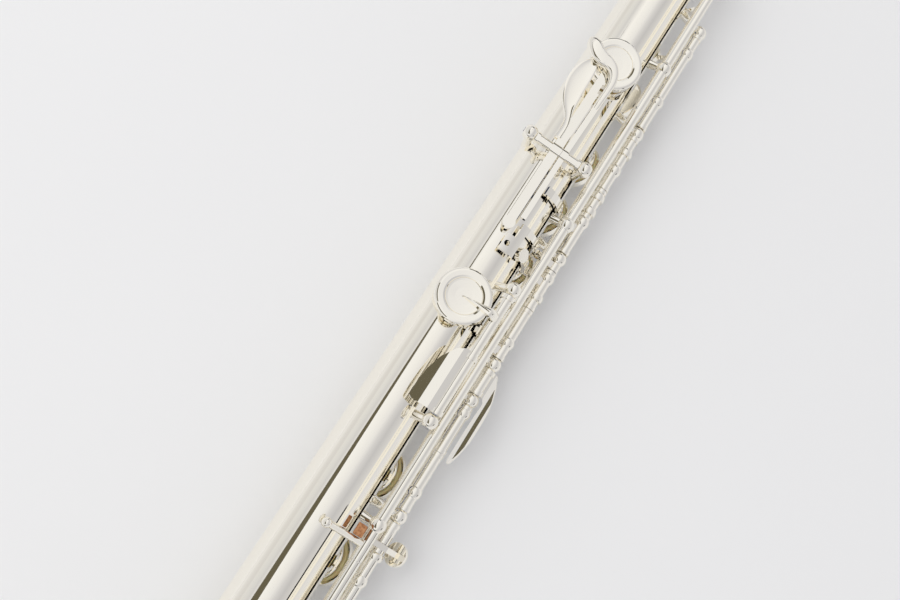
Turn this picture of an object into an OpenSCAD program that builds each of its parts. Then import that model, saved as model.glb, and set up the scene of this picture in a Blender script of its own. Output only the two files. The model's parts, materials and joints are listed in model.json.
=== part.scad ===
/* [Tube] */
// Outside diameter of the body and foot tubes
tube_d = 19.8; // [19.6:0.1:20.0]
// Wall thickness of the tubes
wall = 0.4; // [0.3:0.05:0.5]
// Distance from the embouchure hole centre to the open foot end
foot_end = 603; // [600:1:612]
// Distance from the embouchure hole centre to the crown end of the head tube
crown_end = 57; // [54:1:60]

/* [Head joint] */
// Outside diameter of the head tube at the crown
head_small_d = 17.8; // [17.4:0.1:18.2]
// Height of the lip plate above the tube axis
lip_height = 14.4; // [14:0.1:14.8]
// Distance from the embouchure hole centre to the stopper face
stopper_face = 17.3; // [16.5:0.1:18]

/* [Keywork] */
// Outside diameter of a full size key cup
cup_d = 17; // [16.6:0.1:17.4]
// Outside diameter of the main hinge tubes
hinge_d = 4; // [3.8:0.1:4.2]
// Diameter of the steels that the hinge tubes turn on
steel_d = 2; // [1.8:0.1:2.2]
// Diameter of the post balls
ball_d = 5.2; // [5:0.1:5.6]
// Angle that an open key is lifted by
open_angle = 9; // [8:0.5:9.5]
// Direction of the thumb and G sharp holes, turned from the top line to the player's side
back_angle = 147; // [146:1:148]

/* [Foot joint] */
// Turn of the foot joint away from the player's side
foot_turn = 35; // [30:1:40]

/* [Hidden] */
$fn = 48;
fit = 0.03;           // radial running clearance of hinges
nip = 0.04;           // gap between a closed pad and its rim
tube_r = tube_d / 2;
bore_r = tube_r - wall;
cup_r = cup_d / 2;
hinge_r = hinge_d / 2;
steel_r = steel_d / 2;
ball_r = ball_d / 2;
post_half = 2;        // half the width of a ball across its flats
rim_z = tube_r + 2.6; // height of the tone hole rims above the tube axis
hole_r = 6.9;         // radius of a full size tone hole
small_hole_r = 3.6;   // radius of the C and trill holes
small_cup_r = 4.9;
pad_h = 2.1;          // thickness of a pad
cup_h = 3.4;          // height of a cup above the rim it closes
thumb_open = 4.4;     // angle that the thumb key is lifted by at rest

// Stations along the tube, from the embouchure hole centre
barrel_x0 = 128;
tenon_x0 = barrel_x0 - 4;
body_x0 = 168;
barrel_x1 = 176;
body_x1 = 494;
socket_x0 = 473;
socket_x1 = 500;
foot_x0 = body_x1 + 1;
c_hole_x = 228;
c_touch_x = 250;
thumb_x = 260;
bflat_x = 280;
a_x = 301.5;
g_x = 324;
low_g_x = 348.6;
fsharp_x = 374;
f_x = 401;
e_x = 429.5;
d_x = 460;
trill_dsharp_x = 192;
trill_d_x = 207;
foot_dsharp_x = 508.5;
foot_csharp_x = 531;
foot_c_x = 563;
top_holes = [bflat_x, a_x, g_x, low_g_x, fsharp_x, f_x, e_x, d_x];

// Hinge lines, as [0, y, z]
main_axis = [0, -15.5, 12.5];
trill_axis = [0, -15.5, 4];
gsharp_axis = [0, -16.5, -4.9];
thumb_axle_x = 293.6;
thumb_axle_z = 13.2;
main_posts = [218, 264.3, 316.4, 356.5, 369.5, 409, 469];
upper_steel = [216.5, 369.4];
lower_steel = [369.6, 470.6];
trill_posts = [186.5, 243, 308.5, 414.2, 452];
gsharp_posts = [338.2, 383.3];
foot_posts = [503, 546.4, 576.6];
thumb_post_y = 10;
thumb_steel_r = 0.8;
trill_tube_r = 1.8;
trill_rod_r = 1.1;
trill_open = 8;
gsharp_r = 1.8;

silver = "silver";

// Stations are counted from the embouchure hole, and the foot end is then put at the origin
module placed() {
    translate([-foot_end, 0, 0]) children();
}

// ---- helpers ----
module rod_x(x0, x1, r, axis = [0, 0, 0]) {
    translate([x0, axis.y, axis.z]) rotate([0, 90, 0]) cylinder(r = r, h = x1 - x0);
}

// Turns the top line round the tube, towards the player's side
module around(angle) {
    rotate([angle, 0, 0]) children();
}

module on_foot() {
    around(-foot_turn) children();
}

// Swings a key about a hinge line that runs along the tube
module swung(axis, angle) {
    translate([0, axis.y, axis.z]) rotate([angle, 0, 0])
        translate([0, -axis.y, -axis.z]) children();
}

// A shell strip on the tube between two directions
module strip(x0, x1, from_angle, to_angle, r0, r1) {
    steps = 6;
    outer = [for (i = [0:steps]) let (a = from_angle + (to_angle - from_angle) * i / steps)
        [-r1 * cos(a), -r1 * sin(a)]];
    inner = [for (i = [steps:-1:0]) let (a = from_angle + (to_angle - from_angle) * i / steps)
        [-r0 * cos(a), -r0 * sin(a)]];
    translate([x0, 0, 0]) rotate([0, 90, 0])
        linear_extrude(x1 - x0) polygon(concat(outer, inner));
}

function mix(a, b, t) = a + (b - a) * t;

// A point at radius r round the tube, turned by a from the top line to the player's side
function on_circle(r, a) = [0, -r * sin(a), r * cos(a)];

module ball_end(r, axis, x, half) {
    translate([x, axis.y, axis.z]) intersection() {
        sphere(r = r);
        cube([2 * half, 2 * r, 2 * r], center = true);
    }
}

// A round leg from one point to another in a plane across the tube
module leg(x, from, to, r0, r1) {
    d = to - from;
    translate([x, from.y, from.z]) rotate([-atan2(d.y, d.z), 0, 0])
        cylinder(r1 = r0, r2 = r1, h = norm(d));
}

// A post with a turned foot and a ball that is flat where the hinge tubes meet it
module post(x, base, axis, bore_r_at, r_ball = ball_r) {
    difference() {
        union() {
            leg(x, base, axis, 1.5, 1.15);
            ball_end(r_ball, axis, x, post_half);
        }
        rod_x(x - post_half - 1, x + post_half + 1, bore_r_at, axis);
    }
}

// Drawn tone hole wall: it flares where it leaves the tube and has a rolled rim
module chimney(x, r) {
    flare_r = r + 1.1;
    saddle_z = sqrt(bore_r * bore_r - flare_r * flare_r);
    translate([x, 0, saddle_z]) cylinder(r1 = flare_r, r2 = r + 0.5, h = rim_z - saddle_z);
    translate([x, 0, rim_z - 0.8]) cylinder(r = r + 0.85, h = 0.8);
}

module tone_hole(x, r) {
    translate([x, 0, 0]) cylinder(r = r, h = 2 * rim_z);
}

// ---- key cups, arms and pads, drawn closed over a hole on the top line ----
// A thin wall round the pad, a rounded shoulder, a fine groove and a shallow dish.
// A ring cup is open in the middle.
module cup(x, r, ring = false) {
    h = cup_h;
    inner = ring ? 3.6 : 0;
    shoulder = 1.1;
    translate([x, 0, rim_z + nip]) rotate_extrude() polygon(concat(
        [[inner, pad_h + 0.05], [r - 0.6, pad_h + 0.05], [r - 0.6, 0.9], [r, 0.9]],
        [for (a = [0:15:90]) [r - shoulder * (1 - cos(a)), h - 0.7 + 0.7 * sin(a)]],
        [[r * 0.72, h - 0.12], [r * 0.66, h - 0.3], [r * 0.645, h - 0.5], [r * 0.625, h - 0.32],
            [r * 0.56, h - 0.42], [ring ? 4.2 : r * 0.3, h - 0.62], [inner, h - 0.7]]
    ));
}

module pad(x, r, ring = false) {
    translate([x, 0, rim_z + nip]) rotate_extrude() polygon([
        [ring ? 3 : 0, 0.1], [ring ? 3.4 : 0.4, 0], [r - 1.3, 0], [r - 0.8, 0.2],
        [r - 0.68, 0.6], [r - 0.68, pad_h], [ring ? 3 : 0, pad_h]
    ]);
}

// Side outline of a cup arm; y runs from the hinge line to the cup centre
module arm_side(reach, top) {
    rotate([90, 0, 90]) linear_extrude(12, center = true) polygon([
        [-1.2, 1], [0.6, 1.9], [2.6, top + 0.4], [5.2, top + 1.1], [8, top + 1.1],
        [reach * 0.8, top + 0.55], [reach + 1.4, top - 0.25], [reach + 1.4, top - 0.75],
        [7, top - 0.7], [4.4, top - 1.6], [2.2, -0.6], [0.4, -1.4]
    ]);
}

// The same for a hinge line that passes close to the cup's edge
module near_arm_side(reach, top) {
    rotate([90, 0, 90]) linear_extrude(12, center = true) polygon([
        [-1.4, 1.2], [0.4, 2], [1.8, top + 0.9], [4, top + 1.2], [reach * 0.7, top + 0.6],
        [reach + 1.4, top - 0.25], [reach + 1.4, top - 0.75], [3, top - 0.7],
        [2.5, top - 0.8], [2.1, 1.6], [1.2, 0.4]
    ]);
}

// Plan outline of an arm that narrows from the hinge to a point past the cup centre
module arm_plan(reach, wide, narrow) {
    linear_extrude(40, center = true) polygon([
        [-wide, -1.6], [wide, -1.6], [wide * 0.8, 2], [mix(wide, narrow, 0.6), 6],
        [narrow, reach], [0.15, reach + 1.4], [-0.15, reach + 1.4], [-narrow, reach],
        [-mix(wide, narrow, 0.6), 6], [-wide * 0.8, 2]
    ]);
}

// Plan outline of an arm that tapers straight from a narrow root to a point at its reach
module needle_plan(reach, wide) {
    linear_extrude(40, center = true) polygon([
        [-wide, -1.6], [wide, -1.6], [wide, 0.6], [wide * 0.72, 2.7], [0.1, reach], [-0.1, reach],
        [-wide * 0.72, 2.7], [-wide, 0.6]
    ]);
}

module pointed_arm(x, reach, wide = 2.6, narrow = 0.55) {
    translate([x, main_axis.y, main_axis.z]) intersection() {
        arm_side(reach, cup_h);
        arm_plan(reach, wide, narrow);
    }
}

// One key on the main steel: hinge tube, collars, cups and arms
module main_key(x0, x1, full = [], ring = [], small = [], collars = []) {
    swung(main_axis, open_angle) difference() {
        union() {
            rod_x(x0, x1, hinge_r, main_axis);
            for (x = concat(full, ring, small))
                ball_end(hinge_r + 0.55, main_axis, x, 1.6);
            for (x = collars) ball_end(hinge_r + 0.75, main_axis, x, 1.1);
            for (x = [x0 + 0.7, x1 - 0.7]) rod_x(x - 0.6, x + 0.6, hinge_r + 0.2, main_axis);
            for (x = full) { cup(x, cup_r); pointed_arm(x, 15.5); }
            for (x = ring) { cup(x, cup_r, true); pointed_arm(x, 9.6, 2.6, 1.3); }
            for (x = small) { cup(x, small_cup_r); pointed_arm(x, 14, 2, 0.7); }
        }
        rod_x(x0 - 1, x1 + 1, steel_r + fit, main_axis);
    }
}

// Arm that leaves a hinge tube and runs round the back of the tube, under the trill rod
link_r0 = tube_r + 1.45;
link_r1 = tube_r + 2.6;
module back_arm(x0, x1, to_angle) {
    difference() {
        union() {
            strip(x0, x1, 57, to_angle, link_r0, link_r1);
            low = on_circle(link_r0 + 0.3, 62);
            high = on_circle(link_r0 + 0.3, 56);
            rotate([90, 0, 90]) translate([0, 0, x0]) linear_extrude(x1 - x0) polygon([
                [low.y, low.z], [high.y, high.z], [main_axis.y + 1, main_axis.z - 1.3],
                [main_axis.y - 1, main_axis.z - 1.3]
            ]);
        }
        rod_x(x0 - 1, x1 + 1, steel_r + fit, main_axis);
    }
}

module main_pad(x, ring = false, r = cup_r) {
    color("khaki") swung(main_axis, open_angle) pad(x, r, ring);
}

// ---- head joint ----
// Outside radius of the head tube, which widens up to the tenon
function head_r(x) = mix(head_small_d / 2, tube_r - fit, min(1, (x + crown_end) / (tenon_x0 + crown_end)));

module head_tube() {
    far = body_x0 - 3;
    stations = [-crown_end, 0, 60, tenon_x0, far];
    color(silver) difference() {
        rotate([0, 90, 0]) rotate_extrude() polygon(concat(
            [for (x = stations) [head_r(x), x]],
            [for (i = [4:-1:0]) [head_r(stations[i]) - wall, stations[i]]]
        ));
        cylinder(r = 5.6, h = 20);
    }
}

module lip_outline() {
    linear_extrude(20) polygon([for (i = [0:47]) let (a = i * 7.5) [16.5 * cos(a), 12.2 * sin(a)]]);
}

module lip_plate() {
    arc_r = 60;
    color(silver) difference() {
        intersection() {
            rotate([0, 90, 0]) rotate_extrude() polygon(concat(
                [for (i = [-6:6]) let (x = i * 3) [lip_height - arc_r + sqrt(arc_r * arc_r - x * x), x]],
                [for (i = [6:-1:-6]) let (x = i * 3)
                    [lip_height - 0.9 - arc_r + sqrt(arc_r * arc_r - x * x), x]]
            ));
            lip_outline();
        }
        cylinder(r = 6.1, h = 20);
    }
}

module lip_riser() {
    color(silver) difference() {
        cylinder(r = 6.08, h = 13.9);
        translate([0, 0, -1]) cylinder(r = 5.4, h = 20);
        rod_x(-10, 10, head_r(6) + 0.02);
    }
}

module crown() {
    x1 = -crown_end - 0.1;
    r = head_small_d / 2;
    color(silver) rotate([0, 90, 0]) difference() {
        rotate_extrude() polygon([
            [0, x1 - 6.4], [3.4, x1 - 6.2], [6.2, x1 - 5.3], [r - 0.6, x1 - 4], [r + 0.2, x1 - 2.9],
            [r + 0.35, x1 - 2], [r + 0.35, x1 - 0.3], [r + 0.1, x1], [r - wall - 0.1, x1],
            [r - wall - 0.1, x1 + 6], [0, x1 + 6]
        ]);
        translate([0, 0, x1 - 3]) cylinder(r = 2, h = 12);
    }
}

// Threaded rod with its two end plates, one either side of the cork
module stopper_screw() {
    face = -stopper_face;
    color(silver) rotate([0, 90, 0]) {
        translate([0, 0, face - 1]) cylinder(r = 8.0, h = 1);
        translate([0, 0, face - 14.2]) cylinder(r = 7.6, h = 1);
        difference() {
            translate([0, 0, -crown_end - 1]) cylinder(r = 1.95, h = crown_end - stopper_face);
            translate([0, 0, -crown_end - 1.2]) cylinder(r = 0.8, h = 1.2);
        }
    }
}

module stopper_cork() {
    color("peru") rotate([0, 90, 0]) difference() {
        translate([0, 0, -stopper_face - 13.1])
            cylinder(r1 = head_r(-30) - wall - 0.1, r2 = head_r(-20) - wall - 0.02, h = 12);
        translate([0, 0, -stopper_face - 20]) cylinder(r = 2, h = 30);
    }
}

// ---- body joint ----
module body_tube() {
    color(silver) difference() {
        union() {
            rod_x(body_x0, body_x1, tube_r);
            for (x = top_holes) chimney(x, hole_r);
            for (x = [c_hole_x, trill_d_x, trill_dsharp_x]) chimney(x, small_hole_r);
            around(back_angle) for (x = [thumb_x, low_g_x]) chimney(x, hole_r);
        }
        rod_x(body_x0 - 1, body_x1 + 1, bore_r);
        for (x = top_holes) tone_hole(x, hole_r);
        for (x = [c_hole_x, trill_d_x, trill_dsharp_x]) tone_hole(x, small_hole_r);
        around(back_angle) for (x = [thumb_x, low_g_x]) tone_hole(x, hole_r);
    }
}

// Turned sleeve that takes the head joint
module barrel() {
    ri = tube_r + 0.01;
    color(silver) rotate([0, 90, 0]) rotate_extrude() polygon([
        [ri, barrel_x0], [ri + 1.3, barrel_x0], [ri + 1.6, barrel_x0 + 0.5],
        [ri + 1.6, barrel_x0 + 1.8], [ri + 1.2, barrel_x0 + 2.3], [ri + 0.9, barrel_x0 + 3],
        [ri + 0.8, barrel_x1 - 3], [ri + 1.2, barrel_x1 - 2.4], [ri + 1.5, barrel_x1 - 1.8],
        [ri + 1.5, barrel_x1 - 0.6], [ri + 1.2, barrel_x1], [ri, barrel_x1]
    ]);
}

module main_rib() {
    color(silver) strip(183.5, socket_x0 - 1, 54, 84, tube_r + 0.01, tube_r + 1);
}

module back_rib() {
    color(silver) difference() {
        strip(198, socket_x0 - 3, 92, 112, tube_r + 0.01, tube_r + 0.9);
        around(back_angle) for (x = [thumb_x, low_g_x]) tone_hole(x, hole_r + 1.4);
    }
}

module main_posts() {
    color(silver) difference() {
        for (x = main_posts) post(x, on_circle(tube_r, 69), main_axis, steel_r + 0.01);
        rod_x(150, 500, tube_r + 1.01);
    }
}

module trill_posts() {
    last = len(trill_posts) - 1;
    color(silver) difference() {
        for (i = [0:last]) post(trill_posts[i], on_circle(tube_r, 75.5), trill_axis,
            (i == 0 || i == last ? trill_rod_r : trill_tube_r) + fit);
        rod_x(150, 500, tube_r + 1.01);
    }
}

module gsharp_posts() {
    color(silver) difference() {
        for (x = gsharp_posts) post(x, on_circle(tube_r, 104), gsharp_axis, steel_r + 0.01, 2.4);
        rod_x(150, 500, tube_r + 0.91);
    }
}

// Two posts that stand either side of the thumb key levers and carry the cross axle
module thumb_posts() {
    color(silver) around(back_angle) difference() {
        union() for (side = [-1, 1]) {
            top = [0, side * thumb_post_y, thumb_axle_z];
            leg(thumb_axle_x, [0, side * 8.8, 4.5], top, 1.6, 1.2);
            translate([thumb_axle_x, top.y, top.z]) intersection() {
                sphere(r = 2.5);
                cube([6, 4, 6], center = true);
            }
        }
        rod_x(150, 500, tube_r + 1.01);
        translate([thumb_axle_x, 0, thumb_axle_z]) rotate([90, 0, 0])
            cylinder(r = thumb_steel_r + 0.01, h = 40, center = true);
    }
}

module main_steels() {
    color("lightsteelblue") for (span = [upper_steel, lower_steel])
        rod_x(span[0], span[1], steel_r, main_axis);
}

module gsharp_steel() {
    color("lightsteelblue") rod_x(gsharp_posts[0] - 2.2, gsharp_posts[1] + 2.2, steel_r, gsharp_axis);
}

module thumb_axle() {
    color("lightsteelblue") around(back_angle) translate([thumb_axle_x, 0, thumb_axle_z])
        rotate([90, 0, 0]) cylinder(r = thumb_steel_r, h = 2 * thumb_post_y + 4.4, center = true);
}

// Needle springs lie beside the hinge tubes, each held by one end in a post
module needle_springs() {
    color("steelblue") {
        for (x = [264.3, 409, 469]) needle(x, -20);
        needle(218, 20);
        needle(316.4, -7);
        needle(369.5, 12);
    }
}

module needle(x, length) {
    inner = [x, -14.2, 9.1];
    translate(inner) rotate([0, length > 0 ? 90 : -90, 0]) {
        translate([0, 0, post_half + 0.1]) cylinder(r1 = 0.35, r2 = 0.2, h = abs(length));
    }
}

// Leaf springs screwed under the two thumb levers
module thumb_springs() {
    color("steelblue") around(back_angle) for (y = [-0.7, 2.2])
        translate([297, y - 0.5, tube_r + 0.05]) cube([19, 1, 0.25]);
}

// ---- main line keys ----
module c_key() {
    color(silver) main_key(220.1, 262.2, full = [c_touch_x], small = [c_hole_x]);
}

module bflat_key() {
    color(silver) {
        main_key(266.4, 288.3, full = [bflat_x], collars = [272.8]);
        bflat_fork();
    }
}

// Collar with a forked arm that the thumb lever lifts; the steel pins it to the B flat key
module bflat_fork() {
    x0 = 318.5;
    x1 = 321.2;
    difference() {
        union() {
            rod_x(x0, x1, hinge_r, main_axis);
            back_arm(x0 + 0.1, x1 - 0.3, 128);
            strip(x0 + 0.1, 329.5, 118, 130, link_r0, link_r1);
            strip(323.8, 329.5, 129, 143, link_r0, link_r1);
        }
        rod_x(x0 - 1, x1 + 1, steel_r + fit, main_axis);
        around(136.5) translate([326.8, 0, 0]) cylinder(r = 0.9, h = 20);
    }
}

module a_key() {
    color(silver) {
        main_key(288.4, 314.3, ring = [a_x], collars = [291.4, 297.2]);
        back_arm(303.8, 306.6, 128);
    }
}

// The G key's back arm ends in a round plate
module g_key() {
    color(silver) {
        main_key(321.4, 335.9, ring = [g_x], collars = [331.3]);
        back_arm(325, 327.6, 106);
        around(105) translate([326.3, 0, link_r0 + 0.15]) cylinder(r = 2.2, h = 1.7);
    }
}

module low_g_key() {
    color(silver) {
        main_key(336, 354.4, full = [low_g_x]);
        back_arm(351, 353.8, 100);
    }
}

module fsharp_key() { color(silver) main_key(371.6, 387.6, full = [fsharp_x]); }
module f_key() { color(silver) main_key(387.7, 406.9, ring = [f_x]); }
module e_key() { color(silver) main_key(411.1, 444.4, ring = [e_x], collars = [421.6]); }
module d_key() { color(silver) main_key(444.5, 466.9, ring = [d_x]); }

// ---- trill keys ----
module trill_cup(x) {
    cup(x, small_cup_r);
    difference() {
        translate([x, trill_axis.y, trill_axis.z]) rotate([90, 0, 90]) linear_extrude(2.2, center = true)
            polygon([[-1, 1.4], [2, 6.5], [6, 11], [10, 12.2], [16, 12.1], [16, 11.2],
                [10, 11], [7, 9.4], [3.4, 5], [1.4, 0.6]]);
        rod_x(x - 5, x + 5, tube_r + 1.02);
    }
}

// Round touch beyond the main steel, on an arm from the trill rod
module trill_touch(x) {
    translate([x, -18.8, 17.3]) rotate([8, 0, 0]) cylinder(r = 3.5, h = 1.2);
    translate([x, 0, 0]) rotate([90, 0, 90]) linear_extrude(1.6, center = true)
        polygon([[-16.6, 3.2], [-20.2, 8], [-20.9, 13], [-20.2, 17.8], [-18.8, 17.8],
            [-19.6, 13], [-18.9, 8.5], [-15.4, 5.4]]);
}

module trill_d_key() {
    color(silver) difference() {
        union() {
            rod_x(203.5, 425, trill_tube_r, trill_axis);
            trill_cup(trill_d_x);
            trill_touch(418.4);
            trill_stop();
        }
        rod_x(200, 430, trill_rod_r + fit, trill_axis);
    }
}

// Where the stop arm ends, across and out from the tube axis in the back view
stop_x = 420.6;
stop_tip = [3, 14.4];
back_view = 150;
function around_point(p) = [0, p.x * cos(back_view) - p.y * sin(back_view),
    p.x * sin(back_view) + p.y * cos(back_view)];

// Stop arm that limits the lift of the trill key, with a ball end over the tube
module trill_stop() {
    tip = around_point(stop_tip);
    leg(stop_x, trill_axis, tip, 1, 0.9);
    translate([stop_x, tip.y, tip.z]) sphere(r = 1.45);
}

module trill_cork() {
    color("sienna") around(back_view) translate([stop_x - 4.7, 10.5, 6.3]) cube([3.6, 2.9, 2.4]);
}

// The rod of this key runs inside the tube of the trill D key
module trill_dsharp_key() {
    color(silver) {
        rod_x(184.5, 454, trill_rod_r, trill_axis);
        rod_x(188.6, 203.3, trill_tube_r, trill_axis);
        rod_x(425.2, 449.9, trill_tube_r, trill_axis);
        trill_cup(trill_dsharp_x);
        trill_touch(445.8);
    }
}

// ---- G sharp ----
// The G sharp hinge line seen in the frame of the back line
gsharp_local = [0, gsharp_axis.y * cos(back_angle) + gsharp_axis.z * sin(back_angle),
    gsharp_axis.z * cos(back_angle) - gsharp_axis.y * sin(back_angle)];
module gsharp_key() {
    kick_x0 = 360.6;
    kick_x1 = 380.9;
    h = gsharp_local.z - rim_z;
    color(silver) around(back_angle) difference() {
        union() {
            rod_x(340.5, 381, gsharp_r, gsharp_local);
            for (x = [341.3, 362, 380.2]) rod_x(x - 0.7, x + 0.7, gsharp_r + 0.3, gsharp_local);
            cup(low_g_x, cup_r);
            translate([low_g_x, gsharp_local.y, gsharp_local.z]) rotate([0, 0, 180]) intersection() {
                near_arm_side(gsharp_local.y - 1.4, cup_h - h);
                needle_plan(gsharp_local.y, 1.1);
            }
            translate([0, gsharp_local.y, gsharp_local.z]) gsharp_kicker(kick_x0, kick_x1);
        }
        rod_x(330, 390, steel_r + fit, gsharp_local);
    }
}

// Curved plate beside the hinge tube that the lever works on
module gsharp_kicker(x0, x1) {
    intersection() {
        translate([x0 - 5, 0, 0]) rotate([90, 0, 90]) linear_extrude(x1 - x0 + 10) polygon([
            [-1, 1.6], [-3, 2.1], [-6, 1.9], [-9.2, 0.9], [-9.3, 0.1], [-6, 1.1], [-3, 1.3],
            [-1.2, 0.5]
        ]);
        linear_extrude(30, center = true) polygon([
            [x0, 0], [x0, -2.2], [x0 + 1.6, -4.8], [x0 + 6, -7.4], [x0 + 11, -8.8],
            [x0 + 16, -9.3], [x1 - 0.6, -9], [x1, -8], [x1, 0]
        ]);
    }
}

module gsharp_lever() {
    x0 = 358.6;
    x1 = 367.4;
    color(silver) difference() {
        union() {
            rod_x(x0, x1, hinge_r, main_axis);
            rod_x(x0 + 0.2, x0 + 1.6, hinge_r + 0.4, main_axis);
            rod_x(x1 - 1.6, x1 - 0.2, hinge_r + 0.4, main_axis);
            translate([0, main_axis.y, main_axis.z]) intersection() {
                rotate([90, 0, 90]) translate([0, 0, x0]) linear_extrude(32) polygon([
                    [-1, 1.6], [-2.6, 2.6], [-4.2, 3.3], [-5.6, 3.4], [-5.9, 2.9], [-5.2, 2.4],
                    [-4, 2.1], [-2.6, 1], [-1.6, -0.2]
                ]);
                linear_extrude(30, center = true) polygon([
                    [358.8, -0.5], [358.8, -2.6], [362, -3.8], [366, -5], [370, -5.7],
                    [375, -6], [380, -5.6], [385, -4.7], [388.6, -3.6], [389, -3.2],
                    [388, -3], [380, -3], [374, -3.1], [368.5, -3.3], [367.2, -2.6], [367.2, -0.5]
                ]);
            }
        }
        rod_x(350, 375, steel_r + fit, main_axis);
    }
}

// ---- thumb keys, in the frame of the back line ----
module lever_side(points) {
    translate([0, 0, thumb_axle_z]) rotate([90, 0, 0]) linear_extrude(30, center = true) polygon(points);
}

module hub(y0, y1, r = 1.5) {
    translate([thumb_axle_x, y1, thumb_axle_z]) rotate([90, 0, 0]) cylinder(r = r, h = y1 - y0);
}

module axle_hole() {
    translate([thumb_axle_x, 0, thumb_axle_z]) rotate([90, 0, 0])
        cylinder(r = thumb_steel_r + fit, h = 40, center = true);
}

// Lifts the thumb key and its lever to where their spring holds them
module thumb_swung() {
    around(back_angle) translate([thumb_axle_x, 0, thumb_axle_z]) rotate([0, thumb_open, 0])
        translate([-thumb_axle_x, 0, -thumb_axle_z]) children();
}

module thumb_key() {
    color(silver) thumb_swung() difference() {
        union() {
            hub(-7.9, 1.05);
            hub(-7.9, -6.9, 1.9);
            hub(-2.4, 1.05, 1.9);
            cup(thumb_x, cup_r);
            intersection() {
                lever_side([[321, -0.1], [321, 1.7], [300, 1.1], [294, 1], [286, 1.6], [276, 3], [264, 3.1],
                    [258.5, 2.9], [258.5, 2.3], [268.4, 1.5], [284, -0.3], [294, -1], [302, -0.8]]);
                union() {
                    translate([272, -2.2, 0]) cube([49, 3, 30]);
                    translate([258.5, -2.2, 0]) cube([14, 2.4, 30]);
                }
            }
            translate([321, -0.7, thumb_axle_z - 0.1]) cylinder(r = 2, h = 1.8);
            thumb_touch();
        }
        axle_hole();
    }
}

// Leaf shaped touch beside the thumb cup
module thumb_touch() {
    intersection() {
        linear_extrude(40) polygon([
            [290.5, -1.5], [290.5, -3.2], [286, -3], [283.2, -4.3], [281.1, -6.2],
            [279.1, -7.9], [276.3, -9.2], [273.2, -9.9], [270.2, -9.8], [267.2, -9.1],
            [264.4, -7], [265.6, -4.2], [269.6, -3.8], [274.4, -3.6], [280.2, -3.1],
            [283.5, -2.5], [285.5, -1.5]
        ]);
        lever_side([[291, 0.9], [286, 1.8], [276, 3.4], [263, 3.6], [263, 2.7], [276, 2.4],
            [285, 0.9], [291, -0.4]]);
    }
}

module thumb_bflat_lever() {
    color(silver) thumb_swung() difference() {
        union() {
            hub(1.15, 7.9);
            hub(1.15, 3.3, 1.9);
            hub(6.9, 7.9, 1.9);
            intersection() {
                lever_side([[318, 1], [318, 2.4], [302, 1.2], [294, 0.9], [286, 2.4],
                    [278, 4.6], [272, 5.4], [270, 5.4], [270, 3.8], [276, 3], [284, 0.3],
                    [294, -0.9], [301, -0.6]]);
                translate([270, 1.3, 0]) cube([48, 1.8, 30]);
            }
            intersection() {
                lever_side([[276, 5], [270, 5.4], [264, 5.5], [258, 4.9], [256, 4.2], [256, 3.5],
                    [264, 3.6], [270, 3.8], [276, 3.2]]);
                linear_extrude(40) bflat_hook();
            }
        }
        axle_hole();
    }
}

// Centre line and half width of the hooked touch, from its rounded end over the thumb cup
// to the lever
hook_line = [[258.8, -9.8, 0.9], [260.1, -8.8, 1.9], [261.7, -6.8, 2.2], [262.4, -4.5, 2],
    [262.6, -2.3, 1.7], [263.5, -0.2, 1.4], [265.2, 1.4, 1.15], [267.8, 2.2, 1],
    [271, 2.3, 0.9], [275, 2.2, 0.9]];

// The edge of the touch on one side of its centre line
function hook_edge(side) = [for (i = [0:len(hook_line) - 1]) let (
    before = hook_line[max(i - 1, 0)], after = hook_line[min(i + 1, len(hook_line) - 1)],
    run = [after.x - before.x, after.y - before.y], half = side * hook_line[i].z / norm(run)
) [hook_line[i].x - run.y * half, hook_line[i].y + run.x * half]];

module bflat_hook() {
    far_edge = hook_edge(-1);
    polygon(concat(hook_edge(1), [for (i = [len(far_edge) - 1:-1:0]) far_edge[i]]));
}

// ---- foot joint, drawn in its own turned frame ----
module foot_tube() {
    color(silver) on_foot() difference() {
        union() {
            rod_x(foot_x0, foot_end, tube_r);
            rod_x(foot_end - 1.6, foot_end, tube_r + 0.7);
            for (x = [foot_dsharp_x, foot_csharp_x, foot_c_x]) chimney(x, hole_r);
        }
        rod_x(foot_x0 - 1, foot_end + 1, bore_r);
        for (x = [foot_dsharp_x, foot_csharp_x, foot_c_x]) tone_hole(x, hole_r);
    }
}

module foot_socket() {
    ri = tube_r + fit;
    color(silver) rotate([0, 90, 0]) rotate_extrude() polygon([
        [ri, socket_x0], [ri + 1, socket_x0], [ri + 1.4, socket_x0 + 0.5],
        [ri + 1.4, socket_x0 + 1.8], [ri + 1, socket_x0 + 2.4], [ri + 0.7, socket_x0 + 3],
        [ri + 0.7, socket_x1 - 2.4], [ri + 1.1, socket_x1 - 1.8], [ri + 1.1, socket_x1 - 0.5],
        [ri + 0.8, socket_x1], [tube_r + 0.01, socket_x1], [tube_r + 0.01, foot_x0 + 0.2], [ri, foot_x0 + 0.2]
    ]);
}

module foot_rib() {
    color(silver) on_foot() strip(socket_x1 + 0.1, 579, 54, 84, tube_r + 0.01, tube_r + 1);
}

module foot_posts() {
    color(silver) on_foot() difference() {
        for (x = foot_posts) post(x, on_circle(tube_r, 69), main_axis, steel_r + 0.01);
        rod_x(480, 600, tube_r + 1.01);
    }
}

module foot_steel() {
    color("lightsteelblue") on_foot() rod_x(501, 578.6, steel_r, main_axis);
}

module foot_key_at(x0, x1, x, lift) {
    swung(main_axis, lift) difference() {
        union() {
            rod_x(x0, x1, hinge_r, main_axis);
            ball_end(hinge_r + 0.55, main_axis, x, 1.6);
            cup(x, cup_r);
            pointed_arm(x, 15.5);
            children();
        }
        rod_x(x0 - 1, x1 + 1, steel_r + fit, main_axis);
    }
}

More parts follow.
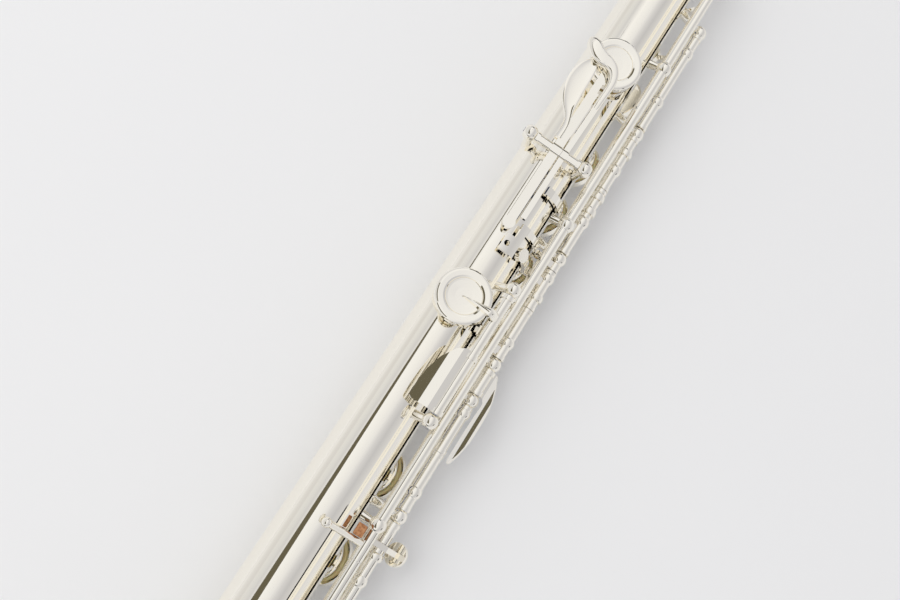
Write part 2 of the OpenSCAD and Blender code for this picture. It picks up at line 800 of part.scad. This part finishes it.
// Curved touch on the player's side of the foot hinge line
module foot_touch(x0, x1, z0) {
    intersection() {
        translate([x0, -40, 0]) cube([x1 - x0, 80, 40]);
        rotate([90, 0, 90]) translate([0, 0, x0]) linear_extrude(x1 - x0) polygon([
            [-15, 14.4], [-18.4, z0], [-24, z0 + 1.2], [-30, z0 + 0.6], [-30, z0 - 0.6],
            [-24, z0 - 0.1], [-18.8, z0 - 1.4], [-16.8, 12.6]
        ]);
    }
}

module foot_dsharp_key() {
    color(silver) on_foot() foot_key_at(505.1, 519.6, foot_dsharp_x, 0)
        foot_touch(506.5, 518, 16.2);
}

module foot_csharp_key() {
    color(silver) on_foot() foot_key_at(519.7, 544.3, foot_csharp_x, open_angle)
        over_lever(520.1, 523.6);
}

// Lever that runs over the tube on the cup side of the hinge line
module over_lever(x0, x1) {
    rotate([90, 0, 90]) translate([0, 0, x0]) linear_extrude(x1 - x0) polygon([
        [-15, 14], [-11.6, 17.6], [-6, 19.4], [1.5, 19], [1.5, 17.8], [-6, 18], [-10.8, 16],
        [-13.8, 12.9]
    ]);
}

module foot_c_key() {
    color(silver) on_foot() {
        foot_key_at(548.5, 574.5, foot_c_x, open_angle) roller_frame();
    }
}

// Arm of the low C roller, with the pin that the roller turns on
roller_pos = [0, 3, 19.2];
roller_x = [546.8, 554.9];
roller_pin_r = 0.65;
module roller_frame() {
    over_lever(555.2, 557.6);
    rod_x(555.2, 557.6, 1.6, roller_pos);
    rod_x(roller_x[0] - 0.8, 556, roller_pin_r, roller_pos);
    rod_x(roller_x[0] - 0.8, roller_x[0] - 0.2, 1.2, roller_pos);
}

module foot_c_roller() {
    color(silver) on_foot() swung(main_axis, open_angle) difference() {
        rod_x(roller_x[0], roller_x[1], 1.6, roller_pos);
        rod_x(roller_x[0] - 1, roller_x[1] + 1, roller_pin_r + fit, roller_pos);
    }
}

placed() head_tube();
placed() lip_plate();
placed() lip_riser();
placed() crown();
placed() stopper_screw();
placed() stopper_cork();
placed() body_tube();
placed() barrel();
placed() main_rib();
placed() back_rib();
placed() main_posts();
placed() trill_posts();
placed() gsharp_posts();
placed() thumb_posts();
placed() main_steels();
placed() gsharp_steel();
placed() thumb_axle();
placed() needle_springs();
placed() thumb_springs();
placed() c_key();
placed() bflat_key();
placed() a_key();
placed() g_key();
placed() low_g_key();
placed() fsharp_key();
placed() f_key();
placed() e_key();
placed() d_key();
placed() trill_d_key();
placed() trill_dsharp_key();
placed() trill_cork();
placed() gsharp_key();
placed() gsharp_lever();
placed() thumb_key();
placed() thumb_bflat_lever();
placed() main_pad(c_hole_x, r = small_cup_r);  // c_pad
placed() main_pad(bflat_x);  // bflat_pad
placed() main_pad(a_x, true);  // a_pad
placed() main_pad(g_x, true);  // g_pad
placed() main_pad(low_g_x);  // low_g_pad
placed() main_pad(fsharp_x);  // fsharp_pad
placed() main_pad(f_x, true);  // f_pad
placed() main_pad(e_x, true);  // e_pad
placed() main_pad(d_x, true);  // d_pad
placed() color("khaki") pad(trill_d_x, small_cup_r);  // trill_d_pad
placed() color("khaki") pad(trill_dsharp_x, small_cup_r);  // trill_dsharp_pad
placed() color("khaki") around(back_angle) pad(low_g_x, cup_r);  // gsharp_pad
placed() color("khaki") thumb_swung() pad(thumb_x, cup_r);  // thumb_pad
placed() foot_tube();
placed() foot_socket();
placed() foot_rib();
placed() foot_posts();
placed() foot_steel();
placed() foot_dsharp_key();
placed() foot_csharp_key();
placed() foot_c_key();
placed() foot_c_roller();
placed() color("khaki") on_foot() pad(foot_dsharp_x, cup_r);  // foot_dsharp_pad
placed() color("khaki") on_foot() main_pad(foot_csharp_x);  // foot_csharp_pad
placed() color("khaki") on_foot() main_pad(foot_c_x);  // foot_c_pad
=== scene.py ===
import json
import math

import bmesh
import bpy
import numpy as np
from mathutils import Matrix, Vector, noise as value_noise


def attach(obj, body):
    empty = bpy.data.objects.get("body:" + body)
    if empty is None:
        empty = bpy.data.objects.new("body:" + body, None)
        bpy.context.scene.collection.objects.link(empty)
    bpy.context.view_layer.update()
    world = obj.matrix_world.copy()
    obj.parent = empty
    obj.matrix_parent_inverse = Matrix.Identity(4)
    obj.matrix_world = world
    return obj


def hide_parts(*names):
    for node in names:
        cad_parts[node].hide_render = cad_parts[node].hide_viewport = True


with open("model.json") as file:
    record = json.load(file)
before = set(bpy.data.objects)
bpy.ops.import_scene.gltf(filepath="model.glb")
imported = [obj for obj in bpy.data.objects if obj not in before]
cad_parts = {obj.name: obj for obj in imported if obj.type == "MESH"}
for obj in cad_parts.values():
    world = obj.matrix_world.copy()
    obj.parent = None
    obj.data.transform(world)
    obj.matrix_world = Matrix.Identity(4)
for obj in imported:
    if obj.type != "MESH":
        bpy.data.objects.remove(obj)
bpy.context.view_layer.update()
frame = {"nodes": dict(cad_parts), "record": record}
MM = 0.001      # metres in a millimetre

# ---- directions round the tube ----
BACK = math.radians(150)      # where the camera stands, turned from the top line
ACROSS = Vector((0, math.cos(BACK), math.sin(BACK)))     # towards the rods
OUT = Vector((0, -math.sin(BACK), math.cos(BACK)))       # towards the camera
HEAD = Vector((-1, 0, 0))
FOOT_END = 603      # millimetres from the embouchure hole to the open foot end, where x is 0


def at(x, u, c):
    """A point x from the embouchure hole, u across and c out from the tube axis, in millimetres."""
    return (-HEAD * (x - FOOT_END) + ACROSS * u + OUT * c) * MM


# ---- materials ----
def new_material(name):
    material = bpy.data.materials.new(name)
    material.use_nodes = True
    nodes, links = material.node_tree.nodes, material.node_tree.links
    return material, nodes, links, nodes["Principled BSDF"]


def noise(nodes, links, coord, scale, detail=3.0, stretch=None):
    texture = nodes.new("ShaderNodeTexNoise")
    texture.inputs["Scale"].default_value = scale
    texture.inputs["Detail"].default_value = detail
    if stretch:
        mapping = nodes.new("ShaderNodeMapping")
        mapping.inputs["Scale"].default_value = stretch
        links.new(coord, mapping.inputs["Vector"])
        coord = mapping.outputs["Vector"]
    links.new(coord, texture.inputs["Vector"])
    return texture.outputs["Fac"]


def ramp(nodes, links, value, low, high):
    """Maps a 0 to 1 value to a colour or grey range."""
    node = nodes.new("ShaderNodeValToRGB")
    node.color_ramp.elements[0].color = (*low, 1)
    node.color_ramp.elements[1].color = (*high, 1)
    links.new(value, node.inputs["Fac"])
    return node.outputs["Color"]


def spread(nodes, links, value, low, high):
    node = nodes.new("ShaderNodeMapRange")
    node.inputs["To Min"].default_value = low
    node.inputs["To Max"].default_value = high
    links.new(value, node.inputs["Value"])
    return node.outputs["Result"]


def bump(nodes, links, height, shader, strength, distance):
    node = nodes.new("ShaderNodeBump")
    node.inputs["Strength"].default_value = strength
    node.inputs["Distance"].default_value = distance
    links.new(height, node.inputs["Height"])
    links.new(node.outputs["Normal"], shader.inputs["Normal"])


def silver(name, tint=(0.99, 0.96, 0.885), rough=0.045, lines=None):
    """Mirror polished silver with faint polishing lines, a thin bloom and tiny waves."""
    material, nodes, links, shader = new_material(name)
    coord = nodes.new("ShaderNodeTexCoord").outputs["Object"]
    cloud = noise(nodes, links, coord, 60, 4)
    warm = tuple(c * k for c, k in zip(tint, (1.0, 0.985, 0.95)))
    links.new(ramp(nodes, links, cloud, warm, tint), shader.inputs["Base Color"])
    shader.inputs["Metallic"].default_value = 1
    fine = noise(nodes, links, coord, 900, 2, lines or (1, 1, 1))
    links.new(spread(nodes, links, fine, rough * 0.6, rough * 1.5), shader.inputs["Roughness"])
    bump(nodes, links, fine, shader, 0.02, 0.00002)
    return material


def steel(name):
    material, nodes, links, shader = new_material(name)
    coord = nodes.new("ShaderNodeTexCoord").outputs["Object"]
    grain = noise(nodes, links, coord, 500, 3, (12, 1, 1))
    links.new(ramp(nodes, links, grain, (0.42, 0.43, 0.45), (0.66, 0.66, 0.67)), shader.inputs["Base Color"])
    shader.inputs["Metallic"].default_value = 1
    links.new(spread(nodes, links, grain, 0.18, 0.32), shader.inputs["Roughness"])
    bump(nodes, links, grain, shader, 0.1, 0.00003)
    return material


def blued_spring():
    material, nodes, links, shader = new_material("blued_spring")
    coord = nodes.new("ShaderNodeTexCoord").outputs["Object"]
    cloud = noise(nodes, links, coord, 300, 3)
    links.new(ramp(nodes, links, cloud, (0.05, 0.07, 0.16), (0.16, 0.2, 0.34)), shader.inputs["Base Color"])
    shader.inputs["Metallic"].default_value = 1
    links.new(spread(nodes, links, cloud, 0.2, 0.35), shader.inputs["Roughness"])
    return material


def pad_skin():
    """Thin yellow skin stretched over felt, with fine creases."""
    material, nodes, links, shader = new_material("pad_skin")
    coord = nodes.new("ShaderNodeTexCoord").outputs["Object"]
    cloud = noise(nodes, links, coord, 350, 5)
    crease = noise(nodes, links, coord, 2200, 4)
    links.new(ramp(nodes, links, cloud, (0.72, 0.55, 0.2), (0.93, 0.84, 0.5)), shader.inputs["Base Color"])
    links.new(spread(nodes, links, cloud, 0.3, 0.5), shader.inputs["Roughness"])
    shader.inputs["Coat Weight"].default_value = 0.25
    shader.inputs["Subsurface Weight"].default_value = 0.15
    shader.inputs["Subsurface Scale"].default_value = 0.001
    bump(nodes, links, crease, shader, 0.35, 0.0001)
    return material


def cork():
    """Red-brown cork with dark pores."""
    material, nodes, links, shader = new_material("cork")
    coord = nodes.new("ShaderNodeTexCoord").outputs["Object"]
    grain = nodes.new("ShaderNodeTexVoronoi")
    grain.inputs["Scale"].default_value = 1500
    links.new(coord, grain.inputs["Vector"])
    colour = ramp(nodes, links, grain.outputs["Distance"], (0.25, 0.09, 0.03), (0.6, 0.3, 0.14))
    links.new(colour, shader.inputs["Base Color"])
    shader.inputs["Roughness"].default_value = 0.85
    bump(nodes, links, grain.outputs["Distance"], shader, 0.6, 0.0001)
    return material


MATERIALS = {
    "silver": silver("polished_silver"),
    "steel": steel("ground_steel"),
    "spring": blued_spring(),
    "pad_skin": pad_skin(),
    "cork": cork(),
}


def paint(obj, material):
    if not obj.material_slots:
        obj.data.materials.append(material)
    for slot in obj.material_slots:
        slot.material = material


def smooth(obj, angle=35):
    for polygon in obj.data.polygons:
        polygon.use_smooth = True
    obj.data.set_sharp_from_angle(angle=math.radians(angle))


slot_of = {part["node"]: part["material_slot"] for part in frame["record"]["subparts"]}
for name, obj in frame["nodes"].items():
    paint(obj, MATERIALS[slot_of[name]])
    smooth(obj)


# ---- sculpted pieces ----
def new_piece(name, vertices, faces, body, material, replaced=(), angle=50):
    mesh = bpy.data.meshes.new(name)
    mesh.from_pydata([tuple(v) for v in vertices], [], faces)
    mesh.update()
    obj = bpy.data.objects.new(name, mesh)
    bpy.context.collection.objects.link(obj)
    tidy = bmesh.new()
    tidy.from_mesh(mesh)
    bmesh.ops.recalc_face_normals(tidy, faces=tidy.faces)
    tidy.to_mesh(mesh)
    tidy.free()
    paint(obj, material)
    smooth(obj, angle)
    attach(obj, body)
    if replaced:
        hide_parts(*replaced)
    return obj


def rings(sections, closed_ends=True):
    """Vertices and faces that skin a row of equal closed sections."""
    count = len(sections[0])
    vertices = [point for section in sections for point in section]
    faces = []
    for i in range(len(sections) - 1):
        for j in range(count):
            k = (j + 1) % count
            faces.append((i * count + j, i * count + k, (i + 1) * count + k, (i + 1) * count + j))
    if closed_ends:
        faces.append(tuple(range(count)))
        faces.append(tuple((len(sections) - 1) * count + j for j in range(count)))
    return vertices, faces


body_of = {node: body for body, nodes in frame["record"]["behaviour"]["bodies"].items() for node in nodes}


def world_points(obj):
    return np.array([obj.matrix_world @ vertex.co for vertex in obj.data.vertices])


# Section of a pad from its back round to its face, as shares of the radius and of the half thickness
PAD_PROFILE = [
    (0.93, -1), (0.99, -0.9), (1, -0.6), (1, 0.2), (0.995, 0.55), (0.965, 0.84), (0.93, 0.95), (0.9, 0.93),
    (0.87, 0.86), (0.84, 0.93), (0.7, 0.98), (0.5, 1),
]


def pad_piece(node):
    """A skinned felt pad: crowned face with the seat's print, rolled edge and fine creases."""
    points = world_points(frame["nodes"][node])
    centre = (points.max(axis=0) + points.min(axis=0)) / 2
    spread_of = np.cov((points - points.mean(axis=0)).T)
    normal = Vector(np.linalg.eigh(spread_of)[1][:, 0])
    for _ in range(2):      # centre by the extent along and across the pad's own axis
        along_axis = (points - centre) @ np.array(normal)
        centre = centre + np.array(normal) * (along_axis.max() + along_axis.min()) / 2
    if normal.dot(Vector((0, -centre[1], -centre[2]))) < 0:
        normal = -normal        # the sealing face looks at the tube
    side = normal.orthogonal().normalized()
    other = normal.cross(side)
    flat = points - centre - np.outer((points - centre) @ np.array(normal), np.array(normal))
    # the pad's middle lies halfway between its extremes on both of its own directions
    for way in (side, other):
        reach = flat @ np.array(way)
        centre = centre + np.array(way) * (reach.max() + reach.min()) / 2
    flat = points - centre
    depth = flat @ np.array(normal)
    radii = np.linalg.norm(flat - np.outer(depth, np.array(normal)), axis=1)
    outer, inner, half = radii.max(), radii.min(), (depth.max() - depth.min()) / 2
    hole = inner if inner > 1 * MM else 0.05 * MM
    rim = [(outer * wide, half * high) for wide, high in PAD_PROFILE]
    profile = [(hole, -half), *rim, (hole, half * 0.97)]
    turns = 96
    sections = []
    for i in range(turns):
        angle = 2 * math.pi * i / turns
        way = side * math.cos(angle) + other * math.sin(angle)
        section = []
        for radius, height in profile:
            place = Vector(centre) + way * radius + normal * height
            crease = value_noise.noise(place * 700) * 0.03 + value_noise.noise(place * 2600) * 0.012
            section.append(place + normal * (crease * MM * (1 if height > 0 else 0)))
        sections.append(section)
    vertices, faces = rings(sections + [sections[0]], False)
    count = len(profile)
    first_of_last = turns * count
    vertices = vertices[:first_of_last]
    faces = [tuple(v % first_of_last for v in face) for face in faces]
    new_piece(node + "_skin", vertices, faces, body_of[node], MATERIALS["pad_skin"], (node,), 60)


def cork_piece(node, rounding, cuts):
    """A cork block or plug with softened edges and a pitted surface."""
    source = frame["nodes"][node]
    shape = bmesh.new()
    shape.from_mesh(source.data)
    shape.transform(source.matrix_world)
    bmesh.ops.remove_doubles(shape, verts=shape.verts, dist=0.005 * MM)
    bmesh.ops.dissolve_limit(shape, angle_limit=math.radians(2), verts=shape.verts, edges=shape.edges)
    sharp = [edge for edge in shape.edges if len(edge.link_faces) == 2 and edge.calc_face_angle() > 0.7]
    bmesh.ops.bevel(shape, geom=sharp, offset=rounding, segments=3, affect="EDGES", profile=0.5)
    bmesh.ops.triangulate(shape, faces=shape.faces)
    bmesh.ops.subdivide_edges(shape, edges=shape.edges, cuts=cuts, use_grid_fill=True)
    shape.normal_update()
    for vertex in shape.verts:
        pit = value_noise.noise(vertex.co * 1800) * 0.05 + value_noise.noise(vertex.co * 5000) * 0.03 - 0.06
        vertex.co += vertex.normal * pit * MM
    mesh = bpy.data.meshes.new(node + "_grain")
    shape.to_mesh(mesh)
    shape.free()
    obj = bpy.data.objects.new(node + "_grain", mesh)
    bpy.context.collection.objects.link(obj)
    paint(obj, MATERIALS["cork"])
    smooth(obj, 40)
    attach(obj, body_of[node])
    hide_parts(node)


for name in frame["nodes"]:
    if name.endswith("_pad"):
        pad_piece(name)
cork_piece("trill_cork", 0.35 * MM, 5)
cork_piece("stopper_cork", 0.4 * MM, 1)

# ---- thumb touches and the G sharp arm, in the frame of the back line ----
BACK_LINE = math.radians(147)
THUMB_OPEN = math.radians(4.4)
THUMB_AXLE = Vector((293.6, 0, 13.2))


def back_line(point):
    """From millimetres in the frame of the back line to metres in the object's frame."""
    turned = Matrix.Rotation(BACK_LINE, 3, "X") @ point
    return Vector((turned.x - FOOT_END, turned.y, turned.z)) * MM


def thumb(x, y, z):
    """A point of the thumb keys, drawn closed, where the open key holds it."""
    return back_line(THUMB_AXLE + Matrix.Rotation(THUMB_OPEN, 3, "Y") @ (Vector((x, y, z)) - THUMB_AXLE))


def smooth_line(points, steps):
    """A Catmull-Rom line through rows of numbers."""
    rows = [np.array(p, float) for p in points]
    rows = [2 * rows[0] - rows[1], *rows, 2 * rows[-1] - rows[-2]]
    line = []
    for i in range(1, len(rows) - 2):
        a, b, c, d = rows[i - 1:i + 3]
        for k in range(steps):
            t = k / steps
            line.append(0.5 * (2 * b + (c - a) * t + (2 * a - 5 * b + 4 * c - d) * t * t
                               + (3 * b - a - 3 * c + d) * t ** 3))
    return line + [rows[-2]]


# Hooked touch: x and y of its centre line, half width, and lowest and highest z
HOOK = [
    (258.2, -10.6, 0.25, 17.3, 17.9), (258.7, -10.2, 1.3, 16.7, 18.6), (260.0, -8.9, 2.25, 16.4, 19.3),
    (261.7, -6.8, 2.55, 16.4, 19.6), (262.5, -4.5, 2.35, 16.45, 19.6), (262.7, -2.2, 2.05, 16.5, 19.5),
    (263.5, -0.1, 1.75, 16.55, 19.4), (265.3, 1.4, 1.5, 16.6, 19.25), (267.8, 2.2, 1.3, 16.6, 19.1),
    (271, 2.3, 1.15, 16.5, 18.95), (275, 2.2, 1.1, 15.9, 18.5), (277.5, 2.2, 1.05, 15.5, 17.9),
]


def hook_touch():
    """Thick rounded strap that curls over the thumb cup and ends in a bulge."""
    line = smooth_line(HOOK, 6)
    sections = []
    for i, row in enumerate(line):
        run = line[min(i + 1, len(line) - 1)][:2] - line[max(i - 1, 0)][:2]
        run = run / np.linalg.norm(run)
        section = []
        for k in range(40):
            angle = 2 * math.pi * k / 40
            c, s = math.cos(angle), math.sin(angle)
            out = math.copysign(abs(c) ** 0.62, c) * row[2]
            half = (row[4] - row[3]) / 2
            rise = math.copysign(abs(s) ** (0.95 if s > 0 else 0.5), s) * half
            section.append(thumb(row[0] - run[1] * out, row[1] + run[0] * out, row[3] + half + rise))
        sections.append(section)
    vertices, faces = rings(sections)
    new_piece("thumb_hook_touch", vertices, faces, "thumb_bflat_lever", MATERIALS["silver"])


# Leaf touch: x, then its outer and inner y, and the lowest and highest z of the plate
LEAF = [
    (264.1, -6.9, -5.6, 15.7, 17.1), (265.2, -8.2, -4.35, 15.6, 17.25), (267.2, -9.3, -3.9, 15.55, 17.3),
    (270.2, -10.0, -3.65, 15.5, 17.3), (273.2, -10.1, -3.55, 15.45, 17.2), (276.3, -9.4, -3.35, 15.3, 17.1),
    (279.1, -8.1, -3.1, 14.95, 16.75), (281.1, -6.6, -2.9, 14.65, 16.45), (283.2, -4.6, -2.3, 14.3, 16.1),
    (286, -3.3, -1.6, 13.7, 15.6), (290.2, -3.3, -1.4, 12.7, 14.9),
]


def leaf_touch():
    """Shallow dished leaf beside the thumb cup."""
    sections = []
    for x, outer, inner, low, high in smooth_line(LEAF, 5):
        middle, half = (outer + inner) / 2, (inner - outer) / 2
        section = []
        for k in range(25):     # over the top, dished towards the middle
            t = 1 - 2 * k / 24
            lift = 0.42 * t * t - 0.42 - 0.22 * max(0, abs(t) - 0.86) / 0.14
            section.append(thumb(x, middle + half * t, high + lift * min(1, half / 2)))
        for k in range(9):
            t = -1 + 2 * k / 8
            section.append(thumb(x, middle + half * 0.985 * t, low + 0.25 * t * t))
        sections.append(section)
    vertices, faces = rings(sections)
    new_piece("thumb_leaf_touch", vertices, faces, "thumb_key", MATERIALS["silver"])


GSHARP_X = 348.6        # the G sharp cup's centre, in millimetres from the embouchure hole

# Arm ridge over the G sharp cup: y from the cup's centre, half width, and lowest and highest z
ARM_RIDGE = [
    (-0.2, 0.06, 15.2, 15.75), (2, 0.32, 15.2, 16.5), (5, 0.62, 15.2, 17.2), (7.6, 0.95, 15.2, 17.75),
    (9.0, 1.25, 15.3, 17.75), (10.2, 1.4, 15.0, 17.0), (11.6, 1.42, 14.2, 15.4),
]


def arm_ridge():
    """Roof-shaped arm that runs out from a point at the cup's centre."""
    sections = []
    for y, half, low, high in smooth_line(ARM_RIDGE, 5):
        ridge, eave = 0.18 * half, high - 0.75 * half
        sections.append([back_line(Vector((GSHARP_X + dx, y, z))) for dx, z in (
            (-half, low), (-half, eave), (-ridge, high - 0.05), (0, high), (ridge, high - 0.05),
            (half, eave), (half, low))])
    vertices, faces = rings(sections)
    new_piece("gsharp_arm_ridge", vertices, faces, "gsharp_key", MATERIALS["silver"], angle=32)


hook_touch()
leaf_touch()
arm_ridge()

# ---- stage, lights and camera ----
def plane(name, centre, right, up, width, height, material):
    corners = [centre + right * (sx * width / 2) + up * (sy * height / 2)
               for sx, sy in ((-1, -1), (1, -1), (1, 1), (-1, 1))]
    mesh = bpy.data.meshes.new(name)
    mesh.from_pydata(corners, [], [(0, 1, 2, 3)])
    obj = bpy.data.objects.new(name, mesh)
    bpy.context.collection.objects.link(obj)
    obj.data.materials.append(material)
    return obj


def floor_material():
    """Pale paper that is clear from behind, so the object can be seen from every side."""
    material, nodes, links, shader = new_material("pale_floor")
    coord = nodes.new("ShaderNodeTexCoord").outputs["Object"]
    cloud = noise(nodes, links, coord, 8, 4)
    colour = ramp(nodes, links, cloud, (0.855, 0.855, 0.853), (0.875, 0.875, 0.872))
    links.new(colour, shader.inputs["Base Color"])
    shader.inputs["Roughness"].default_value = 0.7
    back = nodes.new("ShaderNodeNewGeometry").outputs["Backfacing"]
    clear = nodes.new("ShaderNodeBsdfTransparent")
    either = nodes.new("ShaderNodeMixShader")
    links.new(back, either.inputs["Fac"])
    links.new(shader.outputs["BSDF"], either.inputs[1])
    links.new(clear.outputs["BSDF"], either.inputs[2])
    links.new(either.outputs["Shader"], nodes["Material Output"].inputs["Surface"])
    return material


FLOOR_GAP = 20
plane("floor", at(300, 0, -FLOOR_GAP), -HEAD, ACROSS, 6, 6, floor_material())

# Studio brightness by direction round the tube, in degrees from the camera's side towards the rods
STUDIO = [
    (-180, (0.80, 0.80, 0.80)), (-85, (0.86, 0.86, 0.87)), (-72, (0.72, 0.71, 0.71)),
    (-57, (0.80, 0.80, 0.80)), (-40, (0.68, 0.68, 0.70)), (-18, (0.97, 0.97, 0.98)),
    (0, (0.92, 0.92, 0.93)), (14, (0.86, 0.86, 0.88)), (28, (0.70, 0.70, 0.73)),
    (45, (0.58, 0.58, 0.61)), (62, (0.66, 0.66, 0.68)), (90, (0.80, 0.80, 0.82)),
    (180, (0.80, 0.80, 0.80)),
]


def studio_world():
    world = bpy.data.worlds.new("studio")
    bpy.context.scene.world = world
    world.use_nodes = True
    nodes, links = world.node_tree.nodes, world.node_tree.links
    direction = nodes.new("ShaderNodeTexCoord").outputs["Generated"]
    parts = []
    for axis in (ACROSS, OUT):
        dot = nodes.new("ShaderNodeVectorMath")
        dot.operation = "DOT_PRODUCT"
        dot.inputs[1].default_value = axis
        links.new(direction, dot.inputs[0])
        parts.append(dot.outputs["Value"])
    angle = nodes.new("ShaderNodeMath")
    angle.operation = "ARCTAN2"
    links.new(parts[0], angle.inputs[0])
    links.new(parts[1], angle.inputs[1])
    turn = nodes.new("ShaderNodeMapRange")
    turn.inputs["From Min"].default_value = -math.pi
    turn.inputs["From Max"].default_value = math.pi
    links.new(angle.outputs["Value"], turn.inputs["Value"])
    colours = nodes.new("ShaderNodeValToRGB")
    stops = colours.color_ramp.elements
    while len(stops) < len(STUDIO):
        stops.new(0.5)
    for stop, (degrees, colour) in zip(stops, STUDIO):
        stop.position = (degrees + 180) / 360
        stop.color = (*colour, 1)
    links.new(turn.outputs["Result"], colours.inputs["Fac"])
    links.new(colours.outputs["Color"], nodes["Background"].inputs["Color"])
    nodes["Background"].inputs["Strength"].default_value = 0.95


studio_world()


def dark_card(name, colour, corners):
    """A flag seen only in reflections. Corners are (x along, degrees round, distance) in millimetres."""
    material, nodes, links, shader = new_material(name)
    glow = nodes.new("ShaderNodeEmission")
    glow.inputs["Color"].default_value = (*colour, 1)
    links.new(glow.outputs["Emission"], nodes["Material Output"].inputs["Surface"])
    points = []
    for x, degrees, distance in corners:
        turn = math.radians(degrees)
        points.append(at(x, distance * math.sin(turn), distance * math.cos(turn)))
    mesh = bpy.data.meshes.new(name)
    mesh.from_pydata(points, [], [tuple(range(len(points)))])
    obj = bpy.data.objects.new(name, mesh)
    bpy.context.collection.objects.link(obj)
    obj.data.materials.append(material)
    obj.visible_camera = obj.visible_diffuse = obj.visible_shadow = False
    return obj


dark_card("long_flag", (0.13, 0.115, 0.075), [
    (1300, -32, 1000), (90, -30, 1000), (-500, -29, 1000), (-500, -28.4, 1000), (90, -25.5, 1000),
    (650, -10, 1000), (1300, 4, 1000),
])
dark_card("side_flag", (0.02, 0.02, 0.02), [
    (700, 66, 700), (420, 66, 700), (420, 76, 700), (700, 76, 700),
])
dark_card("foot_flag", (0.03, 0.028, 0.025), [
    (948, -50, 350), (948, 50, 350), (948, 30, 110), (948, -30, 110),
])
dark_card("head_flag", (0.03, 0.028, 0.025), [
    (-252, -50, 350), (-252, 20, 350), (-252, 20, 110), (-252, -30, 110),
])

TILT = math.radians(15)         # how far the camera stands towards the foot
ROLL = math.radians(56.8)       # the flute's slant in the frame
DISTANCE = 234.5                # millimetres from the focus to the camera
towards = OUT * math.cos(TILT) - HEAD * math.sin(TILT)
along = (HEAD * math.cos(TILT) + OUT * math.sin(TILT)).normalized()
right = along * math.cos(ROLL) + ACROSS * math.sin(ROLL)
up = along * math.sin(ROLL) - ACROSS * math.cos(ROLL)


def area_light(name, position, target, size, power, colour=(1, 1, 1)):
    """A soft box that lights the floor and casts shadows but doesn't show in the silver."""
    data = bpy.data.lights.new(name, "AREA")
    data.shape = "DISK"
    data.size = size
    data.energy = power
    data.color = colour
    obj = bpy.data.objects.new(name, data)
    obj.location = position
    obj.rotation_mode = "QUATERNION"
    obj.rotation_quaternion = (target - position).to_track_quat("-Z", "Y")
    obj.visible_glossy = False
    bpy.context.collection.objects.link(obj)
    return obj


focus = at(GSHARP_X, 0.7, 15.5)     # the camera is aimed close to the G sharp cup
area_light("soft_key", focus + OUT * 1.3 - ACROSS * 0.75 - HEAD * 0.1, focus, 1.1, 6.6, (1, 0.99, 0.97))

camera_data = bpy.data.cameras.new("camera")
camera_data.lens = 33
camera_data.sensor_width = 36
camera_data.clip_start = 0.01
camera = bpy.data.objects.new("camera", camera_data)
bpy.context.collection.objects.link(camera)
place = focus + towards * DISTANCE * MM - right * 3.9 * MM - up * 1.2 * MM
camera.matrix_world = Matrix((
    (right.x, up.x, towards.x, place.x),
    (right.y, up.y, towards.y, place.y),
    (right.z, up.z, towards.z, place.z),
    (0, 0, 0, 1),
))
bpy.context.scene.camera = camera
bpy.context.scene.view_settings.view_transform = "Standard"
